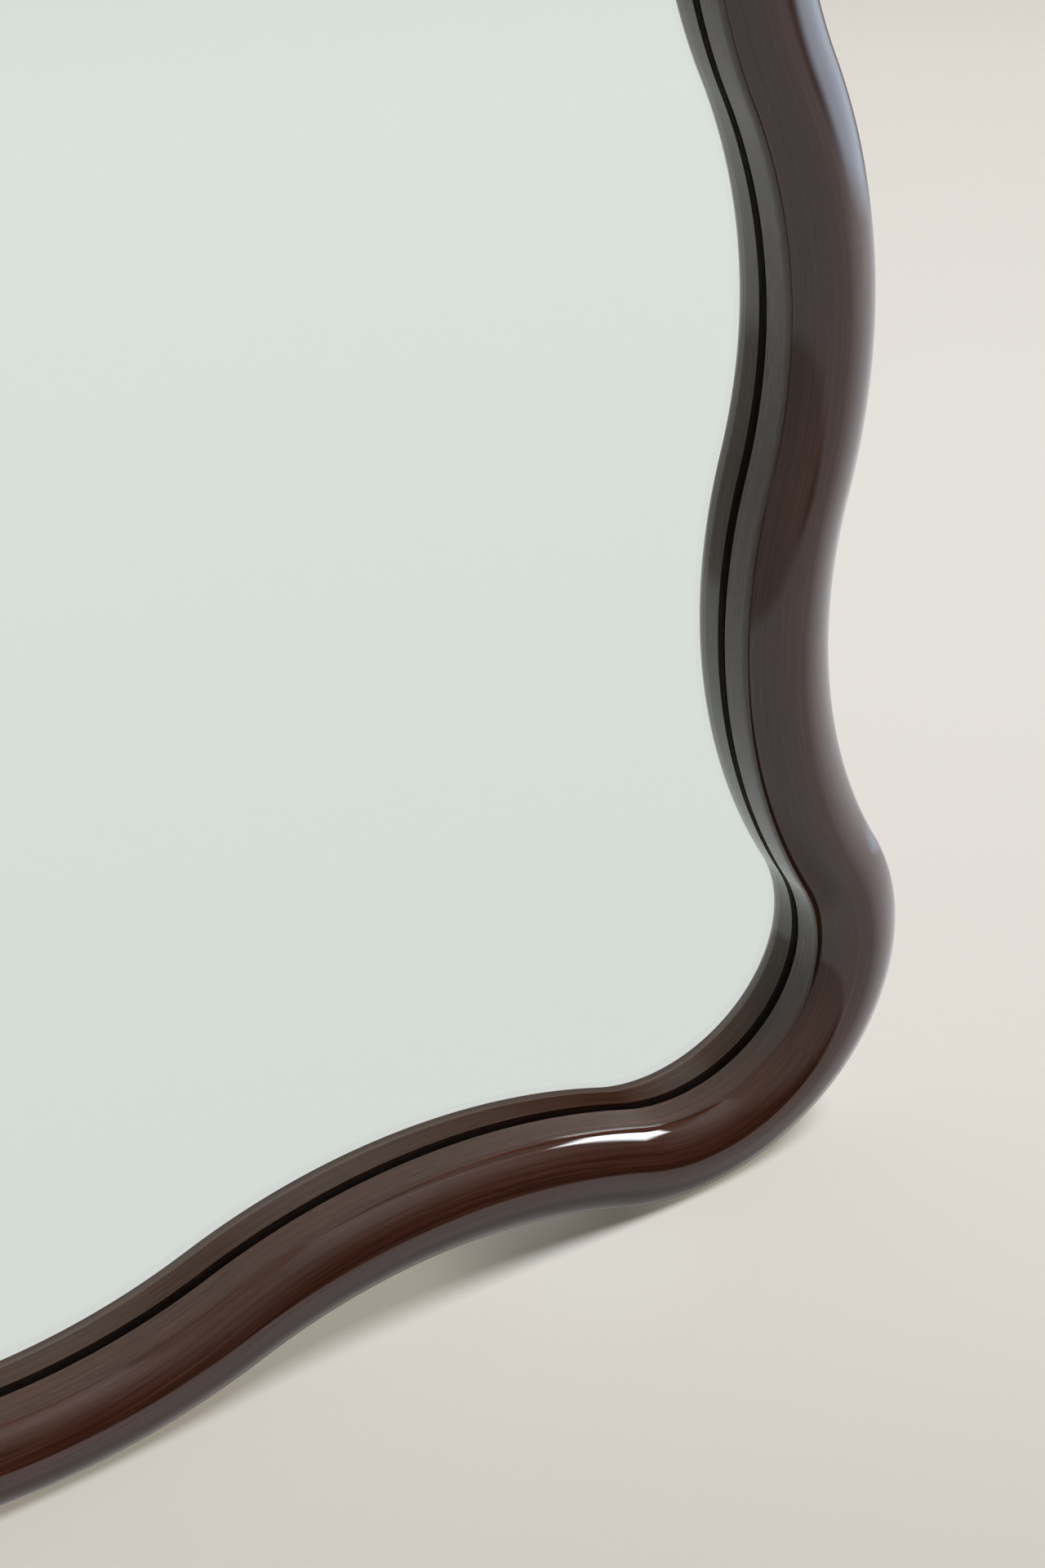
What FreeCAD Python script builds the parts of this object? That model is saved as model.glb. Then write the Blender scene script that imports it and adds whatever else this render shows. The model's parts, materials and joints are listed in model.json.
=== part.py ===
import FreeCAD
import Part
import math
import os
from collections import namedtuple
from FreeCAD import Vector

# Full-length mirror with a wavy wooden frame, in millimetres.
# X runs across the mirror, Z up, and the mirror faces -Y.
# The origin is under the middle of the frame, at the height of the floor.

# Wavy outline, measured on the centreline of the frame
LOBE_PITCH = 329.0            # from the crest of one lobe to the next
WAVE_HEIGHT = 26.7            # from the crest of a lobe to the floor of a valley
LOBE_RADIUS_SHARE = 0.52      # a lobe's part of the two wave radii added up
CORNER_RADIUS = 83.4
CORNER_REACH = 2.65           # how far the corner lobes stand out past the other lobes
SIDE_LOBES = 4                # lobes between the corners of a stile
END_LOBES = 1                 # lobes between the corners of a rail

# Section of the frame, with fronts measured from the back of the lip
HALF_WIDTH = 18.4
WALL_HEIGHT = 15.0            # straight outer side, up to where the rounded front starts
CROWN_RISE = 10.0
SHOULDER_RADIUS = 6.0
INNER_WALL_HEIGHT = 11.0      # straight inner wall, up to where its shoulder starts
INNER_SHOULDER_RADIUS = 9.0
INNER_REACH = 0.8             # how far the inner shoulder stands in past half the width
LIP_TOE = 1.07                # how far the foot of the inner wall leans in under the crown
BACK_ROUND = 3.0
GLASS_REBATE = 8.0            # from the lip's edge to the wall around the glass
PANEL_REBATE = 11.5           # width of the shoulder that the back panel lies on

# Sheets behind the lip, front to back
TAPE_THICKNESS = 0.4
GLASS_THICKNESS = 4.0
FILM_THICKNESS = 0.2
LINER_THICKNESS = 2.2
PANEL_THICKNESS = 5.0
PANEL_RECESS = 1.2            # from the back of the panel to the back of the frame
GLASS_EDGE_GAP = 2.5          # room around the glass
PANEL_EDGE_GAP = 1.0          # room around the back panel
TAPE_SETBACK = 1.5            # from the lip's edge to the tape
TAPE_WIDTH = 4.0

# Blocks and spacers in the room around the glass
BLOCK_LENGTH = 32.0
SPACER_LENGTH = 18.0
BLOCK_SLACK = 0.35            # left free at each face of a block

# Dowels across the mitres
DOWEL_RADIUS = 4.0
DOWEL_LENGTH = 30.0
DOWEL_CHAMFER = 0.8
DOWEL_SPREAD = 17.0           # between the two dowels of a corner
DOWEL_FRONT = 11.0            # in front of the back of the lip
DOWEL_END_GAP = 1.0
GLUE_GAP = 0.1

# Countersunk screws of the back panel
PANEL_SCREW_RADIUS = 1.75
PANEL_SCREW_LENGTH = 16.0
PANEL_SCREW_HEAD_RADIUS = 3.3
PANEL_SCREW_HEAD_HEIGHT = 2.0
PANEL_SCREW_TIP = 3.0
PANEL_SCREW_GAP = 0.1

# Strap hangers on the backs of the stiles
HANGER_LOBE = 3               # which lobe carries the hanger, counted from 0 at the bottom
STRAP_WIDTH = 12.0
STRAP_LENGTH = 45.0           # from the ring's axis to the lower end
STRAP_THICKNESS = 1.2
STRAP_END_RADIUS = 5.0
STRAP_THROAT = 5.0            # from the ring's axis to where the two layers of the strap meet
STRAP_HOLE_RADIUS = 2.2
STRAP_FIRST_HOLE = 24.0       # below the ring's axis
STRAP_HOLE_STEP = 14.0
RING_WIRE_RADIUS = 1.6
RING_BEND_RADIUS = 2.2
RING_LEG = 3.0                # straight part between a bend and the bow
RING_SIDE_GAP = 0.6
RING_REST_GAP = 0.3           # between the hanging ring and the strap under it
PIVOT_GAP = 0.05

# Pan-head screws of the hangers
HANGER_SCREW_RADIUS = 2.0
HANGER_SCREW_LENGTH = 20.0
HANGER_SCREW_HEAD_RADIUS = 3.7
HANGER_SCREW_HEAD_HEIGHT = 2.3
HANGER_SCREW_RIM = 0.9        # straight edge of the head, under its dome
HANGER_SCREW_TIP = 4.0
HANGER_SCREW_GAP = 0.1

# Cross recess in the screw heads, as shares of the head's radius
RECESS_LENGTH_SHARE = 0.6
RECESS_WIDTH_SHARE = 0.16
RECESS_DEPTH_SHARE = 0.4

# Wall bumpers
BUMPER_RADIUS = 5.5
BUMPER_THICKNESS = 6.5
BUMPER_ROUND = 1.2

# Wave: swings are angles of the frame's outward normal, in radians
MITRE_SWING = math.pi / 4
WAVE_SWING = 2 * math.atan(2 * WAVE_HEIGHT / LOBE_PITCH)
WAVE_RADII = LOBE_PITCH / (2 * math.sin(WAVE_SWING))
LOBE_RADIUS = LOBE_RADIUS_SHARE * WAVE_RADII
VALLEY_RADIUS = WAVE_RADII - LOBE_RADIUS
CORNER_SWING = math.acos(
    (CORNER_RADIUS - LOBE_RADIUS - CORNER_REACH + WAVE_RADII * math.cos(WAVE_SWING))
    / (CORNER_RADIUS + VALLEY_RADIUS)
)
CORNER_STEP = (CORNER_RADIUS + VALLEY_RADIUS) * math.sin(CORNER_SWING)
CORNER_X = CORNER_STEP + END_LOBES * LOBE_PITCH / 2
CORNER_LOW = CORNER_RADIUS + HALF_WIDTH
CORNER_HIGH = CORNER_LOW + 2 * CORNER_STEP + SIDE_LOBES * LOBE_PITCH

# Places across the section, outwards from the centreline
LIP_EDGE = -HALF_WIDTH - LIP_TOE
GLASS_WALL = LIP_EDGE + GLASS_REBATE
GLASS_EDGE = GLASS_WALL - GLASS_EDGE_GAP
PANEL_WALL = GLASS_WALL + PANEL_REBATE
PANEL_EDGE = PANEL_WALL - PANEL_EDGE_GAP
PANEL_SCREW_LINE = GLASS_WALL + (PANEL_EDGE - GLASS_WALL) / 2
BACK_LAND = (PANEL_WALL + HALF_WIDTH - BACK_ROUND) / 2

# Places through the depth, with the whole depth centred on the origin
SHEETS = TAPE_THICKNESS + GLASS_THICKNESS + FILM_THICKNESS + LINER_THICKNESS
BACK_DEPTH = SHEETS + PANEL_THICKNESS + PANEL_RECESS
FRONT_DEPTH = WALL_HEIGHT + CROWN_RISE
LIP_Y = FRONT_DEPTH - (FRONT_DEPTH + BACK_DEPTH + BUMPER_THICKNESS) / 2
GLASS_Y = LIP_Y + TAPE_THICKNESS
FILM_Y = GLASS_Y + GLASS_THICKNESS
LINER_Y = FILM_Y + FILM_THICKNESS
PANEL_Y = LINER_Y + LINER_THICKNESS
PANEL_BACK_Y = PANEL_Y + PANEL_THICKNESS
BACK_Y = LIP_Y + BACK_DEPTH

SAME_PLACE = 0.001            # points nearer than this count as one
BACKWARDS = Vector(0, 1, 0)
SIDEWAYS = Vector(1, 0, 0)
UPWARDS = Vector(0, 0, 1)

# One arc of the centreline. bulge is 1 where it bends out and -1 in a valley.
# start and end are the directions of the outward normal.
Bend = namedtuple("Bend", "centre radius bulge start end")


def heading(angle):
    return Vector(math.cos(angle), 0, math.sin(angle))


def spot(bend, angle, offset, depth):
    """The point at offset outside the centreline, where its normal has this angle."""
    reach = bend.radius + bend.bulge * offset
    return bend.centre + heading(angle) * (bend.bulge * reach) + BACKWARDS * depth


def member_bends(corner, facing, lobes):
    """The arcs of one frame member, from mitre to mitre, counter-clockwise from the front."""
    steps = [(CORNER_RADIUS, 1, CORNER_SWING)]
    steps += lobes * [(VALLEY_RADIUS, -1, -WAVE_SWING), (LOBE_RADIUS, 1, WAVE_SWING)]
    steps += [(VALLEY_RADIUS, -1, -CORNER_SWING), (CORNER_RADIUS, 1, MITRE_SWING)]
    bends = []
    centre = corner
    start = -MITRE_SWING
    for index, (radius, bulge, end) in enumerate(steps):
        if index:
            last = bends[-1]
            centre = last.centre + heading(last.end) * (last.bulge * (last.radius + radius))
        bends.append(Bend(centre, radius, bulge, facing + start, facing + end))
        start = end
    return bends


MEMBERS = {
    "bottom_rail": member_bends(Vector(-CORNER_X, 0, CORNER_LOW), -math.pi / 2, END_LOBES),
    "right_stile": member_bends(Vector(CORNER_X, 0, CORNER_LOW), 0, SIDE_LOBES),
    "top_rail": member_bends(Vector(CORNER_X, 0, CORNER_HIGH), math.pi / 2, END_LOBES),
    "left_stile": member_bends(Vector(-CORNER_X, 0, CORNER_HIGH), math.pi, SIDE_LOBES),
}


def middle(bend):
    return (bend.start + bend.end) / 2


def crest(bend):
    """The direction square to the member, where a lobe is highest and a valley lowest."""
    quarter = math.pi / 2
    return round(middle(bend) / quarter) * quarter


def line(start, end):
    return Part.LineSegment(start, end).toShape()


def arc(start, through, end):
    return Part.Arc(start, through, end).toShape()


def sweep(section, moves, closed=False):
    """A solid along a run of moves: each is a plain shift, or a centre, an axis and an angle."""
    faces = []
    wire = section.copy()
    for move in moves:
        if isinstance(move, Vector):
            faces += wire.extrude(move).Faces
            wire.translate(move)
        else:
            centre, axis, angle = move
            faces += wire.revolve(centre, axis, angle).Faces
            wire.rotate(centre, axis, angle)
    if not closed:
        faces += [Part.Face(section), Part.Face(wire)]
    shell = Part.makeCompound(faces)
    shell.sewShape()
    solid = Part.makeSolid(shell.Shells[0])
    if solid.Volume < 0:
        solid.reverse()
    return solid


def frame_section(bend, angle):
    """The section of the frame, square to the centreline."""
    def at(offset, front):
        return spot(bend, angle, offset, LIP_Y - front)

    outer = (HALF_WIDTH - SHOULDER_RADIUS, WALL_HEIGHT)
    inner = (INNER_SHOULDER_RADIUS - HALF_WIDTH - INNER_REACH, INNER_WALL_HEIGHT)

    # The crown is one arc that runs into both shoulders
    span = outer[0] - inner[0]
    inner_sink = FRONT_DEPTH - INNER_WALL_HEIGHT
    inner_spare = inner_sink - INNER_SHOULDER_RADIUS
    outer_spare = CROWN_RISE - SHOULDER_RADIUS
    uneven = inner_sink + INNER_SHOULDER_RADIUS - CROWN_RISE - SHOULDER_RADIUS
    rest = span ** 2 - outer_spare * uneven
    inner_run = rest / (span + math.sqrt(span ** 2 - (1 - outer_spare / inner_spare) * rest))
    crown_radius = (inner_run ** 2 / inner_spare + inner_sink + INNER_SHOULDER_RADIUS) / 2
    crown = (inner[0] + inner_run, FRONT_DEPTH - crown_radius)
    inner_turn = math.atan2(inner[1] - crown[1], inner[0] - crown[0])
    outer_turn = math.atan2(outer[1] - crown[1], outer[0] - crown[0])
    toe = inner[0] - LIP_EDGE
    wall_turn = (
        math.pi + math.atan2(INNER_WALL_HEIGHT, toe)
        - math.acos(INNER_SHOULDER_RADIUS / math.hypot(toe, INNER_WALL_HEIGHT))
    )

    def on_arc(centre, radius, turn):
        return at(centre[0] + radius * math.cos(turn), centre[1] + radius * math.sin(turn))

    lip = at(LIP_EDGE, 0)
    wall_top = on_arc(inner, INNER_SHOULDER_RADIUS, wall_turn)
    inner_middle = on_arc(inner, INNER_SHOULDER_RADIUS, (wall_turn + inner_turn) / 2)
    inner_blend = on_arc(crown, crown_radius, inner_turn)
    outer_blend = on_arc(crown, crown_radius, outer_turn)
    outer_middle = on_arc(outer, SHOULDER_RADIUS, outer_turn / 2)
    outer_top = at(HALF_WIDTH, WALL_HEIGHT)
    round_start = at(HALF_WIDTH, BACK_ROUND - BACK_DEPTH)
    round_end = at(HALF_WIDTH - BACK_ROUND, -BACK_DEPTH)
    round_rise = BACK_ROUND * (1 - math.sin(math.pi / 4))
    round_middle = at(HALF_WIDTH - round_rise, round_rise - BACK_DEPTH)
    corners = [
        round_end,
        at(PANEL_WALL, -BACK_DEPTH),
        at(PANEL_WALL, -SHEETS),
        at(GLASS_WALL, -SHEETS),
        at(GLASS_WALL, 0),
        lip,
    ]
    edges = [
        line(lip, wall_top),
        arc(wall_top, inner_middle, inner_blend),
        arc(inner_blend, at(crown[0], FRONT_DEPTH), outer_blend),
        arc(outer_blend, outer_middle, outer_top),
        line(outer_top, round_start),
        arc(round_start, round_middle, round_end),
    ]
    for start, end in zip(corners, corners[1:]):
        edges.append(line(start, end))
    return Part.Wire(edges)


def frame_member(bends):
    turns = []
    for bend in bends:
        angle = math.degrees(bend.end - bend.start)
        axis = -BACKWARDS if angle > 0 else BACKWARDS
        turns.append((bend.centre, axis, abs(angle)))
    return sweep(frame_section(bends[0], bends[0].start), turns)


def outline(offset, depth):
    """The closed outline of the whole frame, at offset outside its centreline."""
    edges = []
    for bends in MEMBERS.values():
        for bend in bends:
            points = [spot(bend, a, offset, depth) for a in (bend.start, middle(bend), bend.end)]
            edges.append(arc(*points))
    return Part.Wire(edges)


def sheet(offset, depth, thickness):
    return Part.Face(outline(offset, depth)).extrude(BACKWARDS * thickness)


def tape():
    outer = LIP_EDGE + TAPE_SETBACK + TAPE_WIDTH
    ring = Part.Face(outline(outer, LIP_Y)).cut(Part.Face(outline(outer - TAPE_WIDTH, LIP_Y)))
    return ring.Faces[0].extrude(BACKWARDS * TAPE_THICKNESS)


def edge_block(bend, angle, length):
    """A piece of packing between the edge of the glass and the rebate."""
    inner = GLASS_EDGE + BLOCK_SLACK
    outer = GLASS_WALL - BLOCK_SLACK
    half_turn = length / (2 * (bend.radius + bend.bulge * GLASS_WALL))
    front = GLASS_Y + BLOCK_SLACK
    depth = GLASS_THICKNESS - 2 * BLOCK_SLACK

    def curve(offset):
        return [spot(bend, angle + turn, offset, front) for turn in (-half_turn, 0, half_turn)]

    near = curve(inner)
    far = curve(outer)
    edges = [arc(*near), line(near[-1], far[-1]), arc(*reversed(far)), line(far[0], near[0])]
    return Part.Face(Part.Wire(edges)).extrude(BACKWARDS * depth)


def spun(points, foot):
    """A round solid about a line along Y through foot. Points are radius and depth."""
    profile = [foot + SIDEWAYS * radius + BACKWARDS * depth for radius, depth in points]
    wire = Part.makePolygon(profile + profile[:1])
    return Part.Face(wire).revolve(foot, BACKWARDS, 360)


def cross_recess(head, radius):
    """The two crossed cuts in a screw head whose top is at head."""
    length = 2 * RECESS_LENGTH_SHARE * radius
    width = 2 * RECESS_WIDTH_SHARE * radius
    depth = RECESS_DEPTH_SHARE * radius
    low = head - BACKWARDS * depth
    flat = Part.makeBox(length, 2 * depth, width, low - Vector(length, 0, width) / 2)
    tall = Part.makeBox(width, 2 * depth, length, low - Vector(width, 0, length) / 2)
    return flat.fuse(tall)


def panel_screw(head, gap=0):
    """A countersunk screw, or with a gap the hole that takes it."""
    shank = PANEL_SCREW_RADIUS + gap
    rim = PANEL_SCREW_HEAD_RADIUS + gap
    end = PANEL_SCREW_LENGTH + gap
    points = [
        (0, 0),
        (rim, 0),
        (shank, -PANEL_SCREW_HEAD_HEIGHT - gap),
        (shank, PANEL_SCREW_TIP - end),
        (0, -end),
    ]
    return spun(points, head)


def panel_screw_heads():
    """The middle of each panel screw's head, one at every lobe and valley, by frame member."""
    heads = {}
    for name, bends in MEMBERS.items():
        heads[name] = [spot(b, crest(b), PANEL_SCREW_LINE, PANEL_BACK_Y) for b in bends[1:-1]]
    return heads


def mitre_dowel(bend, offset, gap=0):
    """A dowel across the mitre at the end of a member, or with a gap the hole for it."""
    along = heading(bend.end + math.pi / 2)
    radius = DOWEL_RADIUS + gap
    length = DOWEL_LENGTH + (2 * DOWEL_END_GAP if gap else 0)
    centre = spot(bend, bend.end, offset, LIP_Y - DOWEL_FRONT)
    body = Part.makeCylinder(radius, length, centre - along * (length / 2), along)
    if gap:
        return body
    rims = [edge for edge in body.Edges if isinstance(edge.Curve, Part.Circle)]
    return body.makeChamfer(DOWEL_CHAMFER, rims)


def dowels(gap=0):
    pieces = []
    for bends in MEMBERS.values():
        for side in (-1, 1):
            pieces.append(mitre_dowel(bends[-1], side * DOWEL_SPREAD / 2, gap))
    return pieces


# Hangers: the strap is folded round the straight bar of its ring
EYE_RADIUS = RING_WIRE_RADIUS + PIVOT_GAP
EYE_OUTSIDE = EYE_RADIUS + STRAP_THICKNESS
PIVOT_Y = BACK_Y + EYE_OUTSIDE
STRAP_TOP_Y = BACK_Y + 2 * STRAP_THICKNESS
RING_HALF_BAR = STRAP_WIDTH / 2 + RING_SIDE_GAP
RING_HALF_WIDTH = RING_HALF_BAR + RING_BEND_RADIUS
RING_REACH = RING_BEND_RADIUS + RING_LEG + RING_HALF_WIDTH
RING_LEAN = math.asin((STRAP_TOP_Y + RING_REST_GAP + RING_WIRE_RADIUS - PIVOT_Y) / RING_REACH)


def hanger_pivots():
    """The middle of each ring's axis, with the strap centred on the lobe that carries it."""
    pivots = {}
    for side, sign in (("left", -1), ("right", 1)):
        bend = MEMBERS["right_stile"][2 + 2 * HANGER_LOBE]
        place = spot(bend, crest(bend), BACK_LAND, PIVOT_Y)
        pivots[side] = Vector(sign * place.x, place.y, place.z + (STRAP_LENGTH - EYE_OUTSIDE) / 2)
    return pivots


def strap_screw_places(pivot):
    """Where the axes of a strap's screws meet its outer face."""
    drops = [STRAP_FIRST_HOLE, STRAP_FIRST_HOLE + STRAP_HOLE_STEP]
    return [Vector(pivot.x, STRAP_TOP_Y, pivot.z - drop) for drop in drops]


def hanger_strap(pivot):
    """A strap folded in two, with an eye for the ring and two screw holes."""
    def at(up, out):
        return Vector(pivot.x - STRAP_WIDTH / 2, BACK_Y + out, pivot.z + up)

    fold = 2 * math.atan(EYE_RADIUS / STRAP_THROAT)
    fold_run = STRAP_THROAT + STRAP_THICKNESS * math.tan(fold / 2)

    def eye(radius, turn):
        return at(radius * math.cos(turn), EYE_OUTSIDE + radius * math.sin(turn))

    bottom = -math.pi / 2
    top = math.pi / 2 + fold
    layers = 2 * STRAP_THICKNESS
    outside = [
        line(at(-STRAP_LENGTH, 0), at(0, 0)),
        arc(at(0, 0), eye(EYE_OUTSIDE, 0), eye(EYE_OUTSIDE, top)),
        line(eye(EYE_OUTSIDE, top), at(-fold_run, layers)),
        line(at(-fold_run, layers), at(-STRAP_LENGTH, layers)),
        line(at(-STRAP_LENGTH, layers), at(-STRAP_LENGTH, 0)),
    ]
    throat = at(-STRAP_THROAT, STRAP_THICKNESS)
    inside = [
        line(throat, eye(EYE_RADIUS, bottom)),
        arc(eye(EYE_RADIUS, bottom), eye(EYE_RADIUS, 0), eye(EYE_RADIUS, top)),
        line(eye(EYE_RADIUS, top), throat),
    ]
    band = Part.Face(Part.Wire(outside)).cut(Part.Face(Part.Wire(inside)))
    strap = band.Faces[0].extrude(SIDEWAYS * STRAP_WIDTH)
    lower_end = pivot.z - STRAP_LENGTH
    corners = [
        edge for edge in strap.Edges
        if edge.BoundBox.ZMax < lower_end + SAME_PLACE and edge.BoundBox.XLength < SAME_PLACE
    ]
    strap = strap.makeFillet(min(STRAP_END_RADIUS, STRAP_WIDTH / 2 - SAME_PLACE), corners)
    for place in strap_screw_places(pivot):
        hole = Part.makeCylinder(STRAP_HOLE_RADIUS, 2 * layers, place - BACKWARDS * layers, BACKWARDS)
        strap = strap.cut(hole)
    return strap


def hanger_ring(pivot):
    """A D-ring that hangs from its straight bar and leans on the strap."""
    bar_end = pivot + SIDEWAYS * RING_HALF_BAR
    circle = Part.Circle(pivot - SIDEWAYS * RING_HALF_BAR, SIDEWAYS, RING_WIRE_RADIUS)
    drop = UPWARDS * -RING_BEND_RADIUS
    bow_drop = UPWARDS * -(RING_BEND_RADIUS + RING_LEG)
    moves = [
        SIDEWAYS * (2 * RING_HALF_BAR),
        (bar_end + drop, BACKWARDS, 90),
        UPWARDS * -RING_LEG,
        (pivot + bow_drop, BACKWARDS, 180),
        UPWARDS * RING_LEG,
        (pivot - SIDEWAYS * RING_HALF_BAR + drop, BACKWARDS, 90),
    ]
    ring = sweep(Part.Wire(circle.toShape()), moves, closed=True)
    ring.rotate(pivot, SIDEWAYS, math.degrees(RING_LEAN))
    return ring


def hanger_screw(seat, gap=0):
    """A pan-head screw seated on the strap, or with a gap the hole that it makes in the wood."""
    shank = HANGER_SCREW_RADIUS + gap
    end = HANGER_SCREW_LENGTH + gap
    shaft = spun([(0, 0), (shank, 0), (shank, HANGER_SCREW_TIP - end), (0, -end)], seat)
    if gap:
        return shaft
    rim = Part.makeCylinder(HANGER_SCREW_HEAD_RADIUS, HANGER_SCREW_HEAD_HEIGHT, seat, BACKWARDS)
    dome_rise = HANGER_SCREW_HEAD_HEIGHT - HANGER_SCREW_RIM
    dome_radius = (HANGER_SCREW_HEAD_RADIUS ** 2 + dome_rise ** 2) / (2 * dome_rise)
    top = seat + BACKWARDS * HANGER_SCREW_HEAD_HEIGHT
    dome = Part.makeSphere(dome_radius, top - BACKWARDS * dome_radius)
    head = rim.common(dome).cut(cross_recess(top, HANGER_SCREW_HEAD_RADIUS))
    return head.fuse(shaft).removeSplitter()


def wall_bumper(bend, angle):
    place = spot(bend, angle, BACK_LAND, BACK_Y)
    body = Part.makeCylinder(BUMPER_RADIUS, BUMPER_THICKNESS, place, BACKWARDS)
    back_face_y = BACK_Y + BUMPER_THICKNESS
    rim = [edge for edge in body.Edges if all(v.Y > back_face_y - BUMPER_ROUND for v in edge.Vertexes)]
    return body.makeFillet(BUMPER_ROUND, rim)


def build():
    """Every piece of the mirror, as named lists of solids."""
    pieces = {}
    screw_heads = panel_screw_heads()
    pivots = hanger_pivots()
    strap_seats = [seat for pivot in pivots.values() for seat in strap_screw_places(pivot)]
    dowel_holes = dowels(GLUE_GAP)
    hanger_holes = [hanger_screw(seat, HANGER_SCREW_GAP) for seat in strap_seats]

    for name, bends in MEMBERS.items():
        holes = [panel_screw(head, PANEL_SCREW_GAP) for head in screw_heads[name]]
        holes += dowel_holes
        if name.endswith("stile"):
            holes += hanger_holes
        pieces[name] = [frame_member(bends).cut(Part.makeCompound(holes)).Solids[0]]
    pieces["mitre_dowels"] = dowels()

    all_heads = [head for heads in screw_heads.values() for head in heads]
    panel_holes = [panel_screw(head, PANEL_SCREW_GAP) for head in all_heads]
    pieces["glazing_tape"] = [tape()]
    pieces["mirror_glass"] = [sheet(GLASS_EDGE, GLASS_Y, GLASS_THICKNESS)]
    pieces["silvered_film"] = [sheet(GLASS_EDGE, FILM_Y, FILM_THICKNESS)]
    pieces["card_liner"] = [sheet(GLASS_EDGE, LINER_Y, LINER_THICKNESS)]
    panel = sheet(PANEL_EDGE, PANEL_Y, PANEL_THICKNESS)
    pieces["back_panel"] = [panel.cut(Part.makeCompound(panel_holes)).Solids[0]]
    pieces["panel_screws"] = [
        panel_screw(head).cut(cross_recess(head, PANEL_SCREW_HEAD_RADIUS)) for head in all_heads
    ]

    bottom = MEMBERS["bottom_rail"]
    pieces["setting_blocks"] = [
        edge_block(bend, -math.pi / 2, BLOCK_LENGTH) for bend in (bottom[0], bottom[-1])
    ]
    pieces["edge_spacers"] = []
    for name in ("right_stile", "top_rail", "left_stile"):
        lobes = MEMBERS[name][2:-1:2]
        for bend in lobes:
            pieces["edge_spacers"].append(edge_block(bend, crest(bend), SPACER_LENGTH))

    for side, pivot in pivots.items():
        pieces[side + "_hanger_strap"] = [hanger_strap(pivot)]
        pieces[side + "_hanger_ring"] = [hanger_ring(pivot)]
    pieces["hanger_screws"] = [hanger_screw(seat) for seat in strap_seats]

    pieces["wall_bumpers"] = []
    for name in ("right_stile", "left_stile"):
        bends = MEMBERS[name]
        for bend in (bends[0], bends[-1]):
            pieces["wall_bumpers"].append(wall_bumper(bend, crest(bends[2])))
    return pieces


os.makedirs("parts", exist_ok=True)
for node, solids in build().items():
    shape = solids[0] if len(solids) == 1 else Part.makeCompound(solids)
    shape.exportStep("parts/" + node + ".step")
    box = shape.optimalBoundingBox(False, False)
    print(
        "%-20s solids %2d valid %s volume %.1f box %.2f %.2f %.2f to %.2f %.2f %.2f"
        % (node, len(solids), shape.isValid(), shape.Volume,
           box.XMin, box.YMin, box.ZMin, box.XMax, box.YMax, box.ZMax)
    )
for side, pivot in hanger_pivots().items():
    print("%s ring axis at %.3f %.3f %.3f, leaning %.2f degrees"
          % (side, pivot.x, pivot.y, pivot.z, math.degrees(RING_LEAN)))
print("wave swing %.2f corner swing %.2f degrees" % (math.degrees(WAVE_SWING), math.degrees(CORNER_SWING)))
print("radii: lobe %.2f valley %.2f, corner centres at x %.2f z %.2f and %.2f"
      % (LOBE_RADIUS, VALLEY_RADIUS, CORNER_X, CORNER_LOW, CORNER_HIGH))
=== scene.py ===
import json
import math
from collections import namedtuple

import bmesh
import bpy
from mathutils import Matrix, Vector


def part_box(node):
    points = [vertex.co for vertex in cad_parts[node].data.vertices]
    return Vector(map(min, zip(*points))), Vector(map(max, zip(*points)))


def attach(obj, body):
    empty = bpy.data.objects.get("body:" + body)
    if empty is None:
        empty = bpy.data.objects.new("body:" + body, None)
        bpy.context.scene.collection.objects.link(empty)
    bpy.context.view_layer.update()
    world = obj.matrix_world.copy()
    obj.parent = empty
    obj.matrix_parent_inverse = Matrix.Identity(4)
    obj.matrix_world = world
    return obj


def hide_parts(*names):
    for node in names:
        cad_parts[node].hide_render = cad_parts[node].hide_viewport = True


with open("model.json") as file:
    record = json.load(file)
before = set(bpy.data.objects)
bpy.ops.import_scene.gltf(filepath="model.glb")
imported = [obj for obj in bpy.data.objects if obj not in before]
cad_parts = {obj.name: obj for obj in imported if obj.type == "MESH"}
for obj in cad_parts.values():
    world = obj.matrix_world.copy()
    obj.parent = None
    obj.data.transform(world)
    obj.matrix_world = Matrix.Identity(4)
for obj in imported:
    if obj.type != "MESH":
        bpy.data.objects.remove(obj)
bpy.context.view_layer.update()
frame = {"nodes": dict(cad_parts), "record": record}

# Driving sizes in metres, the same ones that the solids follow
MM = 0.001
LOBE_PITCH = 329.0 * MM
WAVE_HEIGHT = 26.7 * MM
LOBE_RADIUS_SHARE = 0.52
CORNER_RADIUS = 83.4 * MM
CORNER_REACH = 2.65 * MM
SIDE_LOBES = 4
END_LOBES = 1
HALF_WIDTH = 18.4 * MM
WALL_HEIGHT = 15.0 * MM
CROWN_RISE = 10.0 * MM
SHOULDER_RADIUS = 6.0 * MM
INNER_WALL_HEIGHT = 11.0 * MM
INNER_SHOULDER_RADIUS = 9.0 * MM
INNER_REACH = 0.8 * MM
LIP_TOE = 1.07 * MM
BACK_ROUND = 3.0 * MM
GLASS_REBATE = 8.0 * MM
PANEL_REBATE = 11.5 * MM
GLASS_EDGE_GAP = 2.5 * MM

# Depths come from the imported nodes: the front is towards -Y
LIP_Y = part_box("glazing_tape")[0].y
PANEL_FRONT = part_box("back_panel")[0].y
BACK_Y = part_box("right_stile")[1].y
GLASS_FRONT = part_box("mirror_glass")[0].y
GLASS_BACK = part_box("mirror_glass")[1].y
GLASS_SKIN = 0.03 * MM

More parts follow.
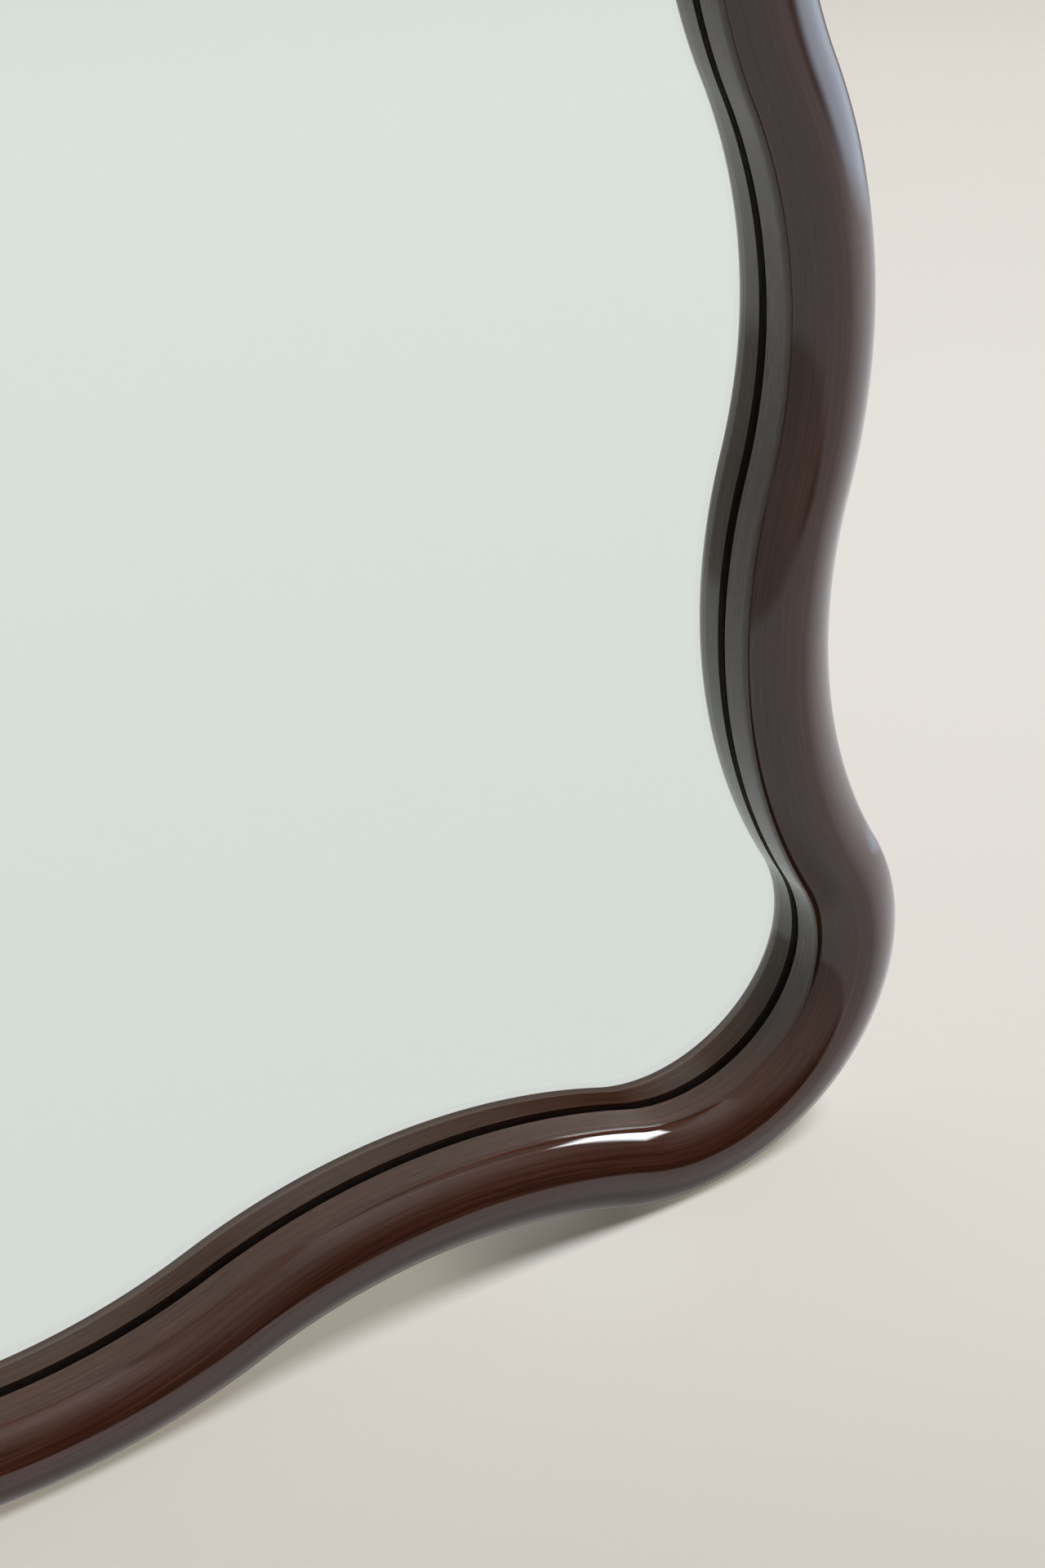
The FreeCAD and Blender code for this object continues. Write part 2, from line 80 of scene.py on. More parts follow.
# The wave: equal swings of lobes and valleys, then the corner lobes
WAVE_SWING = 2.0 * math.atan(2.0 * WAVE_HEIGHT / LOBE_PITCH)
WAVE_RADII = LOBE_PITCH / (2.0 * math.sin(WAVE_SWING))
LOBE_RADIUS = LOBE_RADIUS_SHARE * WAVE_RADII
VALLEY_RADIUS = WAVE_RADII - LOBE_RADIUS
CORNER_DROP = CORNER_RADIUS - LOBE_RADIUS - CORNER_REACH + WAVE_RADII * math.cos(WAVE_SWING)
CORNER_SWING = math.acos(CORNER_DROP / (CORNER_RADIUS + VALLEY_RADIUS))
CORNER_STEP = (CORNER_RADIUS + VALLEY_RADIUS) * math.sin(CORNER_SWING)
CORNER_X = CORNER_STEP + END_LOBES * LOBE_PITCH / 2.0
CORNER_LOW = CORNER_RADIUS + HALF_WIDTH
CORNER_HIGH = CORNER_LOW + 2.0 * CORNER_STEP + SIDE_LOBES * LOBE_PITCH
MITRE = math.radians(45.0)
ARC_STEP = math.radians(0.5)

# How finely round forms are drawn, and the angle from which an edge shows as an edge
INNER_STEPS = 16
CROWN_STEPS = 28
OUTER_STEPS = 12
BACK_STEPS = 8
BUMPER_STEPS = 8
DOME_STEPS = 10
ROUND_STEPS = 48
SHARP_ANGLE = math.radians(30.0)

# Screws and bumpers; the depth of a screw is measured from where its head sits
PANEL_SCREW_OFFSET = -6.22 * MM
PANEL_SCREW_HEAD = (3.3 * MM, 2.0 * MM)
PANEL_SCREW_SHANK = (1.75 * MM, 16.0 * MM)
HANGER_SCREW_HEAD = (3.7 * MM, 2.3 * MM)
HANGER_SCREW_RIM = 0.9 * MM
HANGER_SCREW_SHANK = (2.0 * MM, 20.0 * MM)
SCREW_TIP = 3.0 * MM
SCREW_POINT_SHARE = 0.25
EDGE_ROUND = 0.2 * MM
BUMPER_RADIUS = 5.5 * MM
BUMPER_ROUND = 1.2 * MM
TURN_SEED = 7

# The cross recess in a screw head, in shares of the head's radius
RECESS_REACH = 0.6
RECESS_HALF_WIDTH = 0.15
RECESS_DEPTH = 0.4
# Its bottom as a share of its top, and how far its cutter stands out of the head
RECESS_TAPER = 0.7
RECESS_SPARE = 0.5 * MM

# Wood: how often its figure repeats in a metre, across and along the grain, then rings, stain and lacquer
BENDS_PER_METRE = (7.0, 7.0, 1.7)
STREAKS_PER_METRE = (760.0, 760.0, 11.0)
PORES_PER_METRE = (2400.0, 2400.0, 80.0)
BEND_REACH = (0.024, 0.024, 0.0)
RING_PITCH = 3.2 * MM
# At a scale of 1, the ring texture repeats after this length
RING_REPEAT = 0.31416
RING_SHARE = 0.16
LENGTH_SHARE = 0.5
STAIN = [(0.36, "#391f17"), (0.52, "#42261c"), (0.68, "#4d2d22"), (0.84, "#5b362b")]
PORE_STAIN = "#22110b"
PORE_EDGE = (0.56, 0.7)
PORE_SHARE = 0.4
RIPPLE_STRENGTH = 0.02
RIPPLE_HEIGHT = 0.05 * MM
# Where in the wood each member is cut from
PLANK_CUTS = {
    "bottom_rail": (0.06, 0.045, 0.3),
    "right_stile": (0.07, 0.03, 1.7),
    "top_rail": (0.05, 0.05, 3.1),
    "left_stile": (0.08, 0.02, 5.4),
}

# Plain materials: the middle part of their noise, the height of their relief and the weight of their clouds
GRAIN_RANGE = (0.3, 0.7)
RELIEF_SHARE = 0.3
CLOUD_SHARE = 0.4

# Camera, worked out from the photographed edges in units of its own: angles are in radians
FIT_UNIT = 1.08 * MM
CAMERA_TURN = 0.48629
CAMERA_DIP = 0.61410
CAMERA_ROLL = -0.09149
CAMERA_DISTANCE = 1433.5 * FIT_UNIT
CAMERA_ASIDE = -56.43 * FIT_UNIT
CAMERA_ABOVE = 74.00 * FIT_UNIT
FOCAL_PIXELS = 4590.8
PIXELS_HIGH = 1920
SENSOR_MM = 36.0

# Floor: its paper, painted lighter near one place as a pool of light and darker to bounced light, and a
# painted glow that lifts its shade
FLOOR_HALF = 8.0
PAINTED_FALLOFF = [(0.015, "#dbdadb"), (0.056, "#d5d4d4"), (0.075, "#d0cfcf"), (0.09, "#c5c4c4"), (0.1, "#bfbebe"),
         (0.15, "#b0afb0"), (0.3, "#c0bfc1"), (1.0, "#dedde0")]
PAINTED_POOL_CENTRE = (0.7, 0.35, 0.0)
PAINTED_POOL_REACH = 8.0
PAINTED_DARK_BOUNCE = "#5f5b57"
PAINTED_GLOW_COLOUR = "#ddd4c0"
PAINTED_GLOW = (0.1, 0.375)
PAINTED_GLOW_BOUNCED = 0.4
PAINTED_DEEP_SHADE = (0.24, -0.01, 0.0)
PAINTED_DEEP_SHADE_REACH = (0.015, 0.08)
# Painted light: by the deep shade the paper is lighter and glows less, and away from it darker and glowing
# more
PAINTED_PAPER_DEEP = (1.15, 1.137, 1.075, 1.0)
PAINTED_PAPER_FAR = (0.75, 0.75, 0.75, 1.0)

# Lamp: degrees to the right of straight ahead, and upwards
KEY_STRENGTH = 2.78
KEY_WIDTH = 20.0
KEY_FROM = (54.0, 61.0)

# Room: what gloss sees above and below the floor's far edge, the soft light, and what the eye sees
FLOOR_EDGE = (-0.42, -0.37)
ROOM_SIDES = "#bcb6b0"
DARK_AHEAD = (0.47, -0.883, 0.0)
DARK_EDGE = (0.8, 0.95)
DARK_SIDE = [(0.5, "#14100f"), (0.58, "#3a3431"), (0.65, "#68635e"), (0.76, "#b4aea8"), (0.9, "#ffffff")]
WALL_FROM = (75.0, -14.0)
WALL_EDGE = (0.83, 0.97)
WALL_TOP = (0.0, -0.2)
WALL_LIGHT = (2.7, 3.2, 3.8, 1.0)
GROUND = [(0.05, "#bfbbb8"), (0.12, "#eae7e5"), (0.3, "#edeae9")]
GROUND_RIGHT = (0.55, 0.98)
GROUND_SHALLOW = (-0.88, -0.6)
GROUND_LIGHT = (1.75, 1.75, 1.8, 1.0)
UNDER_TOWARD = (0.36, 0.541, -0.76)
UNDER_EDGE = (0.972, 0.992)
UNDER_SHADE = "#5c5955"
WINDOW_FROM = (76.0, 26.0)
WINDOW_FRONT = (0.0, 0.1)
WINDOW_WIDTH = (0.3, 0.2)
WINDOW_HEIGHT = (0.28, 0.19)
WINDOW_LIGHT = (18.0, 19.0, 20.0, 1.0)
SOFT_LIGHT = [(0.0, "#666664"), (0.5, "#303030"), (0.6, "#303030"), (1.0, "#f4f4f2")]
PALE_ROOM = [(0.0, "#d9d6d6"), (0.12, "#e4e0e2"), (0.3, "#efebec"), (0.5, "#eceae8"), (0.53, "#f0eeec"),
             (1.0, "#dcdad8")]

Bend = namedtuple("Bend", "centre radius bulge start end")


# Outline

def heading(angle):
    """Unit vector in the plane of the mirror, from +X towards +Z."""
    return Vector((math.cos(angle), 0.0, math.sin(angle)))


def member_bends(facing, corner, lobes):
    """Arcs of one frame member, from the mitre in one corner lobe to the next."""
    steps = [(CORNER_RADIUS, 1, CORNER_SWING)]
    for _ in range(lobes):
        steps.append((VALLEY_RADIUS, -1, -WAVE_SWING))
        steps.append((LOBE_RADIUS, 1, WAVE_SWING))
    steps.append((VALLEY_RADIUS, -1, -CORNER_SWING))
    steps.append((CORNER_RADIUS, 1, MITRE))
    bends = []
    centre = corner
    angle = facing - MITRE
    for radius, bulge, swing in steps:
        if bends:
            last = bends[-1]
            centre = last.centre + heading(last.end) * last.bulge * (last.radius + radius)
        bends.append(Bend(centre, radius, bulge, angle, facing + swing))
        angle = facing + swing
    return bends


def follow(bends, offset):
    """Points along a member, at an offset outwards from its middle line."""
    points = []
    for bend in bends:
        count = math.ceil(abs(bend.end - bend.start) / ARC_STEP)
        reach = bend.bulge * (bend.radius + bend.bulge * offset)
        for step in range(0 if bend is bends[0] else 1, count + 1):
            angle = bend.start + (bend.end - bend.start) * step / count
            points.append(bend.centre + heading(angle) * reach)
    return points


def arc(centre, radius, start, end, count):
    """Points of an arc in the section's own plane: offset outwards, height in front of the lip."""
    points = []
    for step in range(count + 1):
        angle = start + (end - start) * step / count
        points.append((centre[0] + radius * math.cos(angle), centre[1] + radius * math.sin(angle)))
    return points


def frame_section():
    """The frame's section: lip, leaning inner wall, rounded front, outer side, back and two rebates."""
    outer = (HALF_WIDTH - SHOULDER_RADIUS, WALL_HEIGHT)
    inner = (INNER_SHOULDER_RADIUS - HALF_WIDTH - INNER_REACH, INNER_WALL_HEIGHT)
    lip = -HALF_WIDTH - LIP_TOE
    to_lip = Vector((lip - inner[0], -inner[1]))
    wall_angle = math.atan2(to_lip.y, to_lip.x) + 2.0 * math.pi
    wall_angle -= math.acos(INNER_SHOULDER_RADIUS / to_lip.length)
    # The crown is one arc that runs into both shoulders
    span = outer[0] - inner[0]
    inner_sink = WALL_HEIGHT + CROWN_RISE - INNER_WALL_HEIGHT
    inner_spare = inner_sink - INNER_SHOULDER_RADIUS
    outer_spare = CROWN_RISE - SHOULDER_RADIUS
    uneven = inner_sink + INNER_SHOULDER_RADIUS - CROWN_RISE - SHOULDER_RADIUS
    rest = span ** 2 - outer_spare * uneven
    inner_run = rest / (span + math.sqrt(span ** 2 - (1.0 - outer_spare / inner_spare) * rest))
    crown = (inner_run ** 2 / inner_spare + inner_sink + INNER_SHOULDER_RADIUS) / 2.0
    middle = (inner[0] + inner_run, WALL_HEIGHT + CROWN_RISE - crown)
    outer_angle = math.atan2(outer[1] - middle[1], outer[0] - middle[0])
    inner_angle = math.atan2(inner[1] - middle[1], inner[0] - middle[0])
    back = LIP_Y - BACK_Y
    panel_wall = HALF_WIDTH + LIP_TOE - GLASS_REBATE - PANEL_REBATE
    points = [(lip, 0.0)]
    points += arc(inner, INNER_SHOULDER_RADIUS, wall_angle, inner_angle, INNER_STEPS)
    points += arc(middle, crown, inner_angle, outer_angle, CROWN_STEPS)[1:]
    points += arc(outer, SHOULDER_RADIUS, outer_angle, 0.0, OUTER_STEPS)[1:]
    corner = (HALF_WIDTH - BACK_ROUND, back + BACK_ROUND)
    points += arc(corner, BACK_ROUND, 0.0, -math.pi / 2.0, BACK_STEPS)
    points += [(-panel_wall, back), (-panel_wall, LIP_Y - PANEL_FRONT)]
    points += [(lip + GLASS_REBATE, LIP_Y - PANEL_FRONT), (lip + GLASS_REBATE, 0.0)]
    return points


MEMBERS = {
    "bottom_rail": member_bends(-math.pi / 2.0, Vector((-CORNER_X, 0.0, CORNER_LOW)), END_LOBES),
    "right_stile": member_bends(0.0, Vector((CORNER_X, 0.0, CORNER_LOW)), SIDE_LOBES),
    "top_rail": member_bends(math.pi / 2.0, Vector((CORNER_X, 0.0, CORNER_HIGH)), END_LOBES),
    "left_stile": member_bends(math.pi, Vector((-CORNER_X, 0.0, CORNER_HIGH)), SIDE_LOBES),
}


# Small helpers

def linear(code):
    """A colour written as sRGB hex, as linear red, green, blue and alpha."""
    made = []
    for at in (1, 3, 5):
        value = int(code[at:at + 2], 16) / 255.0
        made.append(value / 12.92 if value <= 0.04045 else ((value + 0.055) / 1.055) ** 2.4)
    return (*made, 1.0)


def node(tree, kind, settings=None, inputs=None):
    """Add one node with its settings; an input takes a value or another node's socket."""
    made = tree.nodes.new(kind)
    for name, value in (settings or {}).items():
        setattr(made, name, value)
    for name, value in (inputs or {}).items():
        if isinstance(value, bpy.types.NodeSocket):
            tree.links.new(value, made.inputs[name])
        else:
            made.inputs[name].default_value = value
    return made


def vector_math(tree, operation, *given):
    """The result of a vector operation, as a socket."""
    made = node(tree, "ShaderNodeVectorMath", {"operation": operation}, dict(enumerate(given)))
    return made.outputs["Value" if operation in ("DOT_PRODUCT", "DISTANCE") else "Vector"]


def number_math(tree, operation, *given):
    """The result of an operation on numbers, as a socket."""
    return node(tree, "ShaderNodeMath", {"operation": operation}, dict(enumerate(given))).outputs[0]


def noise(tree, place, detail, scale=1.0):
    """Noise over a place that is already scaled, or over a plain one with a scale."""
    return node(tree, "ShaderNodeTexNoise", inputs={"Vector": place, "Scale": scale, "Detail": detail})


def fade(tree, value, edges, ends=(0.0, 1.0), soft=False):
    """A number that goes from one end to the other while the value goes between two edges."""
    settings = {"interpolation_type": "SMOOTHSTEP"} if soft else None
    low, high = edges
    first, last = ends
    inputs = {"Value": value, "From Min": low, "From Max": high, "To Min": first, "To Max": last}
    return node(tree, "ShaderNodeMapRange", settings, inputs).outputs[0]


def mix(tree, share, first, second):
    """A colour between two others, as a socket."""
    made = node(tree, "ShaderNodeMix", {"data_type": "RGBA"}, {"Factor": share, 6: first, 7: second})
    return made.outputs[2]


def ramp(tree, value, stops):
    """A colour that a value picks from stops of place and sRGB hex, as a socket."""
    made = node(tree, "ShaderNodeValToRGB", inputs={"Fac": value})
    elements = made.color_ramp.elements
    while len(elements) > 1:
        elements.remove(elements[-1])
    for count, (place, code) in enumerate(stops):
        stop = elements[0] if count == 0 else elements.new(place)
        stop.position = place
        stop.color = linear(code)
    return made.outputs["Color"]


def new_material(name):
    """An empty node material: gives the material, its tree and its shader."""
    made = bpy.data.materials.new(name)
    made.use_nodes = True
    tree = made.node_tree
    tree.nodes.clear()
    shader = node(tree, "ShaderNodeBsdfPrincipled")
    node(tree, "ShaderNodeOutputMaterial", inputs={"Surface": shader.outputs["BSDF"]})
    return made, tree, shader


def object_place(tree):
    """Object coordinates in metres, as a socket."""
    return node(tree, "ShaderNodeTexCoord").outputs["Object"]


def finished_mesh(name, form):
    """Turn all faces of a form outwards and give it as a plain mesh."""
    bmesh.ops.recalc_face_normals(form, faces=form.faces[:])
    mesh = bpy.data.meshes.new(name)
    form.to_mesh(mesh)
    form.free()
    return mesh


def prism(name, near_loop, far_loop):
    """A closed mesh between two loops of points: the near face first, then the far one, then the sides."""
    form = bmesh.new()
    near = [form.verts.new(point) for point in near_loop]
    far = [form.verts.new(point) for point in far_loop]
    form.faces.new(near)
    form.faces.new(list(reversed(far)))
    for step in range(len(near)):
        onward = (step + 1) % len(near)
        form.faces.new((near[step], far[step], far[onward], near[onward]))
    return finished_mesh(name, form)


def add_piece(name, mesh):
    """Link a finished mesh as an object at the origin."""
    piece = bpy.data.objects.new(name, mesh)
    bpy.context.scene.collection.objects.link(piece)
    return piece


def put_on(piece, body, slot, *nodes):
    """Ride a finished piece on a body and hide the nodes that it stands for; the slot that names its finish
    is not used.
    """
    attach(piece, body)
    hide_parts(*nodes)


# Materials

def gloss_lacquered_wood(name, cut):
    """Hardwood bent to the wave, stained dark red-brown under a thick polished lacquer.

    The eye sees dark wood with thin red streaks that follow each member, and sharp reflections over it.
    """
    made, tree, shader = new_material(name)
    across = node(tree, "ShaderNodeAttribute", {"attribute_name": "across"}).outputs["Vector"]
    along = node(tree, "ShaderNodeAttribute", {"attribute_name": "along"}).outputs["Fac"]
    run = node(tree, "ShaderNodeCombineXYZ", inputs={"Z": along}).outputs["Vector"]
    plank = vector_math(tree, "ADD", across, run)
    plank = node(tree, "ShaderNodeMapping", inputs={"Vector": plank, "Location": cut}).outputs["Vector"]
    # Slow bends of the grain: about 150 mm across and 600 mm along
    slow = noise(tree, vector_math(tree, "MULTIPLY", plank, BENDS_PER_METRE), 2.0)
    bend = vector_math(tree, "SUBTRACT", slow.outputs["Color"], (0.5, 0.5, 0.5))
    bent = vector_math(tree, "MULTIPLY_ADD", bend, BEND_REACH, plank)
    # Growth rings 3.2 mm apart
    rings = node(tree, "ShaderNodeTexWave",
                 {"wave_type": "RINGS", "rings_direction": "Z", "wave_profile": "SAW"},
                 {"Vector": bent, "Scale": RING_REPEAT / RING_PITCH, "Distortion": 1.2, "Detail": 2.0,
                  "Detail Scale": 0.6})
    # Streaks 1.3 mm wide and some 90 mm long, and pores 0.4 mm wide and 12 mm long
    streaks = noise(tree, vector_math(tree, "MULTIPLY", bent, STREAKS_PER_METRE), 4.0).outputs["Fac"]
    pores = noise(tree, vector_math(tree, "MULTIPLY", bent, PORES_PER_METRE), 1.0).outputs["Fac"]
    figure = number_math(tree, "MULTIPLY_ADD", rings.outputs["Fac"], RING_SHARE, streaks)
    # Redder and darker lengths of the wood
    shift = number_math(tree, "SUBTRACT", slow.outputs["Fac"], 0.5)
    figure = number_math(tree, "MULTIPLY_ADD", shift, LENGTH_SHARE, figure)
    dark = fade(tree, pores, PORE_EDGE, (0.0, PORE_SHARE))
    stain = mix(tree, dark, ramp(tree, figure, STAIN), linear(PORE_STAIN))
    tree.links.new(stain, shader.inputs["Base Color"])
    # The lacquer follows the open grain a little, so its reflections run in faint lines
    ripple = node(tree, "ShaderNodeBump",
                  inputs={"Height": streaks, "Strength": RIPPLE_STRENGTH, "Distance": RIPPLE_HEIGHT})
    tree.links.new(ripple.outputs["Normal"], shader.inputs["Normal"])
    tree.links.new(ripple.outputs["Normal"], shader.inputs["Coat Normal"])
    shader.inputs["Roughness"].default_value = 0.5
    shader.inputs["Specular IOR Level"].default_value = 0.0
    shader.inputs["Coat Weight"].default_value = 1.0
    shader.inputs["Coat Roughness"].default_value = 0.04
    shader.inputs["Coat IOR"].default_value = 1.56
    return made


def float_glass():
    """Clear 4 mm float glass: colourless to look through, a little green along the way."""
    made, _, shader = new_material("clear_float_glass")
    shader.inputs["Base Color"].default_value = linear("#f3fbf7")
    shader.inputs["Roughness"].default_value = 0.0
    shader.inputs["IOR"].default_value = 1.52
    shader.inputs["Transmission Weight"].default_value = 1.0
    return made


def silver_coat():
    """Silver deposited on the glass from solution: a smooth metal, bright and nearly neutral."""
    made, _, shader = new_material("wet_silvered_coat")
    shader.inputs["Base Color"].default_value = linear("#f6f9f7")
    shader.inputs["Metallic"].default_value = 1.0
    shader.inputs["Roughness"].default_value = 0.0
    return made


def speckled(name, scale_mm, stops, roughness, bump, stretch=(1.0, 1.0, 1.0), metallic=0.0, cloud_mm=None):
    """A material with a grain of one size: colour stops over noise, and a bump from the same noise.

    Clouds, where asked for, shift the colour over a wider size that still shows from across a room.
    """
    made, tree, shader = new_material(name)
    place = object_place(tree)
    size = [axis / (scale_mm * MM) for axis in stretch]
    grain = noise(tree, vector_math(tree, "MULTIPLY", place, size), 3.0).outputs["Fac"]
    shade = grain
    if cloud_mm:
        clouds = noise(tree, place, 4.0, 1.0 / (cloud_mm * MM)).outputs["Fac"]
        shade = number_math(tree, "MULTIPLY_ADD", clouds, CLOUD_SHARE, grain)
        shade = number_math(tree, "SUBTRACT", shade, CLOUD_SHARE / 2.0)
    tree.links.new(ramp(tree, shade, stops), shader.inputs["Base Color"])
    relief = node(tree, "ShaderNodeBump",
                  inputs={"Height": grain, "Strength": bump, "Distance": scale_mm * RELIEF_SHARE * MM})
    tree.links.new(relief.outputs["Normal"], shader.inputs["Normal"])
    tree.links.new(fade(tree, grain, GRAIN_RANGE, roughness), shader.inputs["Roughness"])
    shader.inputs["Metallic"].default_value = metallic
    return made


# Frame members

def poly_curve(name, points, closed):
    """A plain curve object through the points, for a node tree to read."""
    data = bpy.data.curves.new(name, "CURVE")
    data.dimensions = "3D"
    spline = data.splines.new("POLY")
    spline.points.add(len(points) - 1)
    for place, point in zip(spline.points, points):
        place.co = (*point, 1.0)
    spline.use_cyclic_u = closed
    made = bpy.data.objects.new(name, data)
    bpy.context.scene.collection.objects.link(made)
    return made


def drop(made):
    """Take a helper object out again."""
    bpy.data.objects.remove(made, do_unlink=True)


def member_tree():
    """Node tree that draws the frame's section along a member's wavy line."""
    tree = bpy.data.node_groups.new("wavy_member", "GeometryNodeTree")
    tree.interface.new_socket("Member", in_out="OUTPUT", socket_type="NodeSocketGeometry")
    tree.interface.new_socket("Line", in_out="INPUT", socket_type="NodeSocketObject")
    tree.interface.new_socket("Section", in_out="INPUT", socket_type="NodeSocketObject")
    tree.interface.new_socket("Finish", in_out="INPUT", socket_type="NodeSocketMaterial")
    given = node(tree, "NodeGroupInput")
    line = node(tree, "GeometryNodeObjectInfo", inputs={"Object": given.outputs["Line"]})
    section = node(tree, "GeometryNodeObjectInfo", inputs={"Object": given.outputs["Section"]})
    flat = node(tree, "GeometryNodeSetCurveNormal", {"mode": "FREE"},
                {"Curve": line.outputs["Geometry"], "Normal": (0.0, 1.0, 0.0)})
    # The grain needs each point's way along the member and its place in the section
    run = node(tree, "GeometryNodeSplineParameter").outputs["Length"]
    flat = node(tree, "GeometryNodeStoreNamedAttribute", {"data_type": "FLOAT", "domain": "POINT"},
                {"Geometry": flat.outputs["Curve"], "Name": "along", "Value": run})
    spot = node(tree, "GeometryNodeInputPosition").outputs["Position"]
    marked = node(tree, "GeometryNodeStoreNamedAttribute",
                  {"data_type": "FLOAT_VECTOR", "domain": "POINT"},
                  {"Geometry": section.outputs["Geometry"], "Name": "across", "Value": spot})
    swept = node(tree, "GeometryNodeCurveToMesh",
                 inputs={"Curve": flat.outputs["Geometry"], "Profile Curve": marked.outputs["Geometry"],
                         "Fill Caps": True})
    smooth = node(tree, "GeometryNodeSetShadeSmooth", inputs={"Geometry": swept.outputs["Mesh"]})
    real = node(tree, "GeometryNodeRealizeInstances", inputs={"Geometry": smooth.outputs["Geometry"]})
    finished = node(tree, "GeometryNodeSetMaterial",
                    inputs={"Geometry": real.outputs["Geometry"], "Material": given.outputs["Finish"]})
    node(tree, "NodeGroupOutput", inputs={"Member": finished.outputs["Geometry"]})
    return tree


def grow(name, tree, values):
    """Run a node tree with its named inputs and give the result as a plain mesh."""
    holder = add_piece(name + "_holder", bpy.data.meshes.new(name + "_holder"))
    modifier = holder.modifiers.new("grow", "NODES")
    modifier.node_group = tree
    for socket in tree.interface.items_tree:
        if socket.in_out == "INPUT" and socket.name in values:
            modifier[socket.identifier] = values[socket.name]
    graph = bpy.context.evaluated_depsgraph_get()
    mesh = bpy.data.meshes.new_from_object(holder.evaluated_get(graph))
    holder.modifiers.remove(modifier)
    drop(holder)
    mesh.name = name
    mesh.set_sharp_from_angle(angle=SHARP_ANGLE)
    return mesh


def make_members():
    """The four wavy members, each of its own length of wood."""
    outline = [(LIP_Y - front, -out, 0.0) for out, front in frame_section()]
    section = poly_curve("section", outline, True)
    tree = member_tree()
    for name, bends in MEMBERS.items():
        line = poly_curve("line", follow(bends, 0.0), False)
        wood = gloss_lacquered_wood("gloss_lacquered_" + name, PLANK_CUTS[name])
        mesh = grow(name + "_wood", tree, {"Line": line, "Section": section, "Finish": wood})
        put_on(add_piece(name + "_wood", mesh), "mirror", "lacquered_wood", name)
        drop(line)
    drop(section)


# Glass

def sheet_mesh(name, offset, front, back):
    """A closed flat sheet that follows the frame's outline: front first, then back, then edges."""
    loop = []
    for bends in MEMBERS.values():
        loop += follow(bends, offset)[1:]
    near = [(point.x, front, point.z) for point in loop]
    far = [(point.x, back, point.z) for point in loop]
    return prism(name, near, far)


def make_mirror():
    """Float glass with its silver on the back face, seen through the glass."""
    wall = -HALF_WIDTH - LIP_TOE + GLASS_REBATE
    front = GLASS_FRONT + GLASS_SKIN
    back = GLASS_BACK - GLASS_SKIN
    mesh = sheet_mesh("silvered_mirror", wall - GLASS_EDGE_GAP, front, back)
    mesh.materials.append(float_glass())
    mesh.materials.append(silver_coat())
    mesh.polygons[1].material_index = 1
    put_on(add_piece("silvered_mirror", mesh), "mirror", "silvered_glass", "mirror_glass")


# Hardware and back

def make_finishes():
    """Materials of the hardware and the back, by the slots that they fill."""
    return {
        # Satin grey metal with a faint crystal mottle, brighter than the wood around it
        "zinc_plated_steel": speckled("zinc_plated_steel", 0.8, [(0.3, "#c0c3c4"), (0.7, "#d2d5d7")],
                                      (0.24, 0.36), 0.03, metallic=1.0),
        # Brown pressed board, with short upright fibres and soft patches some 30 mm wide
        "fibreboard": speckled("hard_fibreboard", 1.6, [(0.3, "#5f442f"), (0.5, "#6c4f38"), (0.7, "#7f5f43")],
                               (0.6, 0.8), 0.15, stretch=(1.0, 1.0, 0.35), cloud_mm=28.0),
        # Dull black with a fine moulded skin
        "black_rubber": speckled("moulded_black_rubber", 0.5, [(0.3, "#141414"), (0.7, "#1f1f1e")],
                                 (0.55, 0.75), 0.08),
        # Nearly lightless black along the lip
        "black_foam_tape": speckled("black_foam_tape", 0.3, [(0.3, "#0b0b0b"), (0.7, "#161616")],
                                    (0.8, 0.95), 0.2),
        # Smooth blue-grey plastic skin
        "safety_film": speckled("grey_safety_film", 6.0, [(0.3, "#66717a"), (0.7, "#727d85")],
                                (0.35, 0.5), 0.02),
        # Flat grey-brown paper board
        "card": speckled("grey_brown_card", 2.0, [(0.3, "#9c7e58"), (0.7, "#b39468")], (0.8, 0.95), 0.1),
        # Crumbs of light and dark cork
        "cork": speckled("pressed_cork", 1.5, [(0.35, "#7a512f"), (0.5, "#a97a4c"), (0.7, "#c09362")],
                         (0.8, 0.95), 0.25),
        # Pale plain wood
        "beech": speckled("planed_beech", 2.0, [(0.3, "#b98d61"), (0.7, "#d4ab7c")], (0.5, 0.65), 0.05),
    }


def dress_nodes(finishes):
    """Give the solids that show as they are a material of their own."""
    for part in frame["record"]["subparts"]:
        if part["material_slot"] in finishes:
            held = frame["nodes"][part["node"]]
            for place in held.material_slots:
                place.material = finishes[part["material_slot"]]


def lathe(name, profile):
    """A closed round object about the Y axis, from points of radius and depth that start and end on it."""
    form = bmesh.new()
    rings = []
    for radius, depth in profile:
        turns = [2.0 * math.pi * step / ROUND_STEPS for step in range(ROUND_STEPS if radius else 1)]
        places = [(radius * math.cos(turn), depth, radius * math.sin(turn)) for turn in turns]
        rings.append([form.verts.new(place) for place in places])
    for near, far in zip(rings, rings[1:]):
        for step in range(ROUND_STEPS):
            onward = (step + 1) % ROUND_STEPS
            corners = [near[step % len(near)], near[onward % len(near)]]
            corners += [far[onward % len(far)], far[step % len(far)]]
            form.faces.new(list(dict.fromkeys(corners)))
    return add_piece(name, finished_mesh(name, form))


def cross_cutter(radius, face):
    """A tapered cross along the Y axis, which cuts the recess into the face of a screw head."""
    reach = radius * RECESS_REACH
    half_width = radius * RECESS_HALF_WIDTH
    top = face + RECESS_SPARE
    bottom = face - radius * RECESS_DEPTH
    quarter = [(half_width, reach), (-half_width, reach), (-half_width, half_width)]
    outline = []
    for turn in range(4):
        for across, along in quarter:
            for _ in range(turn):
                across, along = -along, across
            outline.append((across, along))
    near = [(across, top, along) for across, along in outline]
    far = [(across * RECESS_TAPER, bottom, along * RECESS_TAPER) for across, along in outline]
    return add_piece("recess", prism("recess", near, far))


